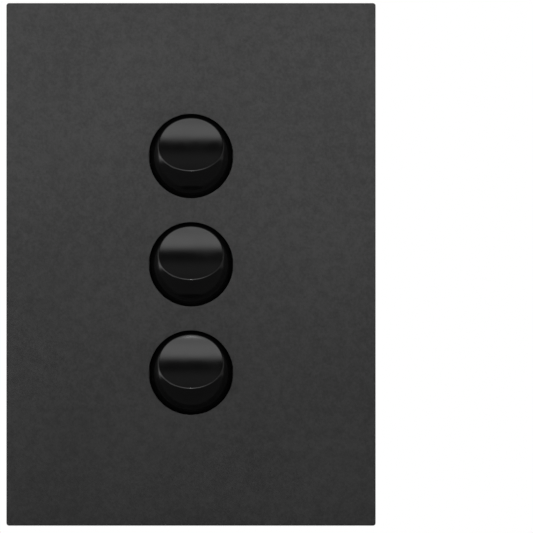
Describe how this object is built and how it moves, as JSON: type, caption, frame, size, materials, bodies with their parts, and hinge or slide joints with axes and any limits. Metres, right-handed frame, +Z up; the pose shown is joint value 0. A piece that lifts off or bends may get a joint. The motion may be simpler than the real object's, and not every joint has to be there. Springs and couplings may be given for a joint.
{
  "type": "wall plate cover",
  "caption": "Flat dark grey rectangular wall plate with a column of round glossy black rocker switches, on a screw-fixed grid frame.",
  "frame": {"origin": "centre of the plate in the plane of the wall surface", "axes": "+Z up, along the plate's long side; +X to the right seen from the front; +Y into the wall; the face looks along -Y"},
  "size_m": [0.0876, 0.0366, 0.124],
  "materials": {
    "cover_metal": "satin dark grey paint with a fine mottled grain",
    "carrier_plastic": "moulded black, matt",
    "grid_plastic": "moulded black, matt",
    "zinc_steel": "bright zinc plate",
    "housing_black": "moulded black, satin",
    "housing_grey": "moulded pale grey, satin",
    "dolly_black": "polished black",
    "plunger_plastic": "moulded off-white, satin",
    "spring_steel": "drawn wire",
    "copper": "rolled copper strip with silver-coloured buttons",
    "brass": "turned brass"
  },
  "bodies": {
    "grid": {"grid_frame": "grid_plastic", "top_front_housing": "housing_black", "top_rear_housing": "housing_grey", "top_common_terminal": "brass", "top_first_way_terminal": "brass", "top_second_way_terminal": "brass", "top_loop_terminal": "brass", "middle_front_housing": "housing_black", "middle_rear_housing": "housing_grey", "middle_common_terminal": "brass", "middle_first_way_terminal": "brass", "middle_second_way_terminal": "brass", "middle_loop_terminal": "brass", "bottom_front_housing": "housing_black", "bottom_rear_housing": "housing_grey", "bottom_common_terminal": "brass", "bottom_first_way_terminal": "brass", "bottom_second_way_terminal": "brass", "bottom_loop_terminal": "brass"},
    "cover": {"cover_plate": "cover_metal", "cover_carrier": "carrier_plastic"},
    "upper_fixing_screw": {"upper_fixing_screw": "zinc_steel"},
    "lower_fixing_screw": {"lower_fixing_screw": "zinc_steel"},
    "top_dolly": {"top_dolly": "dolly_black", "top_plunger_spring": "spring_steel"},
    "top_plunger": {"top_plunger": "plunger_plastic"},
    "top_moving_contact": {"top_moving_contact": "copper"},
    "top_common_screw": {"top_common_screw": "zinc_steel"},
    "top_first_way_screw": {"top_first_way_screw": "zinc_steel"},
    "top_second_way_screw": {"top_second_way_screw": "zinc_steel"},
    "top_loop_screw": {"top_loop_screw": "zinc_steel"},
    "middle_dolly": {"middle_dolly": "dolly_black", "middle_plunger_spring": "spring_steel"},
    "middle_plunger": {"middle_plunger": "plunger_plastic"},
    "middle_moving_contact": {"middle_moving_contact": "copper"},
    "middle_common_screw": {"middle_common_screw": "zinc_steel"},
    "middle_first_way_screw": {"middle_first_way_screw": "zinc_steel"},
    "middle_second_way_screw": {"middle_second_way_screw": "zinc_steel"},
    "middle_loop_screw": {"middle_loop_screw": "zinc_steel"},
    "bottom_dolly": {"bottom_dolly": "dolly_black", "bottom_plunger_spring": "spring_steel"},
    "bottom_plunger": {"bottom_plunger": "plunger_plastic"},
    "bottom_moving_contact": {"bottom_moving_contact": "copper"},
    "bottom_common_screw": {"bottom_common_screw": "zinc_steel"},
    "bottom_first_way_screw": {"bottom_first_way_screw": "zinc_steel"},
    "bottom_second_way_screw": {"bottom_second_way_screw": "zinc_steel"},
    "bottom_loop_screw": {"bottom_loop_screw": "zinc_steel"}
  },
  "joints": [
    {"name": "cover_pull", "type": "slide", "parent": "grid", "child": "cover", "axis": [0, -1, 0], "range_m": [0, 0.014]},
    {"name": "upper_fixing_screw_loosen", "type": "slide", "parent": "grid", "child": "upper_fixing_screw", "axis": [0, -1, 0], "range_m": [0, 0.001]},
    {"name": "lower_fixing_screw_loosen", "type": "slide", "parent": "grid", "child": "lower_fixing_screw", "axis": [0, -1, 0], "range_m": [0, 0.001]},
    {"name": "top_dolly_rock", "type": "hinge", "parent": "grid", "child": "top_dolly", "pos_m": [0, -0.0027, 0.0257], "axis": [1, 0, 0], "range_deg": [0, 40]},
    {"name": "top_contact_rock", "type": "hinge", "parent": "grid", "child": "top_moving_contact", "pos_m": [0, 0.0092, 0.0257], "axis": [1, 0, 0], "range_deg": [-14, 0]},
    {"name": "top_plunger_slide", "type": "slide", "parent": "top_dolly", "child": "top_plunger", "axis": [0, -0.9397, 0.342], "range_m": [0, 0.0015], "stiffness_N_per_m": 300, "deforming": ["top_plunger_spring"]},
    {"name": "top_common_clamp", "type": "slide", "parent": "grid", "child": "top_common_screw", "axis": [1, 0, 0], "range_m": [0, 0.0021]},
    {"name": "top_first_way_clamp", "type": "slide", "parent": "grid", "child": "top_first_way_screw", "axis": [-1, 0, 0], "range_m": [0, 0.0021]},
    {"name": "top_second_way_clamp", "type": "slide", "parent": "grid", "child": "top_second_way_screw", "axis": [-1, 0, 0], "range_m": [0, 0.0021]},
    {"name": "top_loop_clamp", "type": "slide", "parent": "grid", "child": "top_loop_screw", "axis": [1, 0, 0], "range_m": [0, 0.0021]},
    {"name": "middle_dolly_rock", "type": "hinge", "parent": "grid", "child": "middle_dolly", "pos_m": [0, -0.0027, 0], "axis": [1, 0, 0], "range_deg": [0, 40]},
    {"name": "middle_contact_rock", "type": "hinge", "parent": "grid", "child": "middle_moving_contact", "pos_m": [0, 0.0092, 0], "axis": [1, 0, 0], "range_deg": [-14, 0]},
    {"name": "middle_plunger_slide", "type": "slide", "parent": "middle_dolly", "child": "middle_plunger", "axis": [0, -0.9397, 0.342], "range_m": [0, 0.0015], "stiffness_N_per_m": 300, "deforming": ["middle_plunger_spring"]},
    {"name": "middle_common_clamp", "type": "slide", "parent": "grid", "child": "middle_common_screw", "axis": [1, 0, 0], "range_m": [0, 0.0021]},
    {"name": "middle_first_way_clamp", "type": "slide", "parent": "grid", "child": "middle_first_way_screw", "axis": [-1, 0, 0], "range_m": [0, 0.0021]},
    {"name": "middle_second_way_clamp", "type": "slide", "parent": "grid", "child": "middle_second_way_screw", "axis": [-1, 0, 0], "range_m": [0, 0.0021]},
    {"name": "middle_loop_clamp", "type": "slide", "parent": "grid", "child": "middle_loop_screw", "axis": [1, 0, 0], "range_m": [0, 0.0021]},
    {"name": "bottom_dolly_rock", "type": "hinge", "parent": "grid", "child": "bottom_dolly", "pos_m": [0, -0.0027, -0.0257], "axis": [1, 0, 0], "range_deg": [0, 40]},
    {"name": "bottom_contact_rock", "type": "hinge", "parent": "grid", "child": "bottom_moving_contact", "pos_m": [0, 0.0092, -0.0257], "axis": [1, 0, 0], "range_deg": [-14, 0]},
    {"name": "bottom_plunger_slide", "type": "slide", "parent": "bottom_dolly", "child": "bottom_plunger", "axis": [0, -0.9397, 0.342], "range_m": [0, 0.0015], "stiffness_N_per_m": 300, "deforming": ["bottom_plunger_spring"]},
    {"name": "bottom_common_clamp", "type": "slide", "parent": "grid", "child": "bottom_common_screw", "axis": [1, 0, 0], "range_m": [0, 0.0021]},
    {"name": "bottom_first_way_clamp", "type": "slide", "parent": "grid", "child": "bottom_first_way_screw", "axis": [-1, 0, 0], "range_m": [0, 0.0021]},
    {"name": "bottom_second_way_clamp", "type": "slide", "parent": "grid", "child": "bottom_second_way_screw", "axis": [-1, 0, 0], "range_m": [0, 0.0021]},
    {"name": "bottom_loop_clamp", "type": "slide", "parent": "grid", "child": "bottom_loop_screw", "axis": [1, 0, 0], "range_m": [0, 0.0021]}
  ],
  "couplings": [
    {"joint": "top_contact_rock", "follows": "top_dolly_rock", "ratio": -0.35},
    {"joint": "middle_contact_rock", "follows": "middle_dolly_rock", "ratio": -0.35},
    {"joint": "bottom_contact_rock", "follows": "bottom_dolly_rock", "ratio": -0.35}
  ]
}
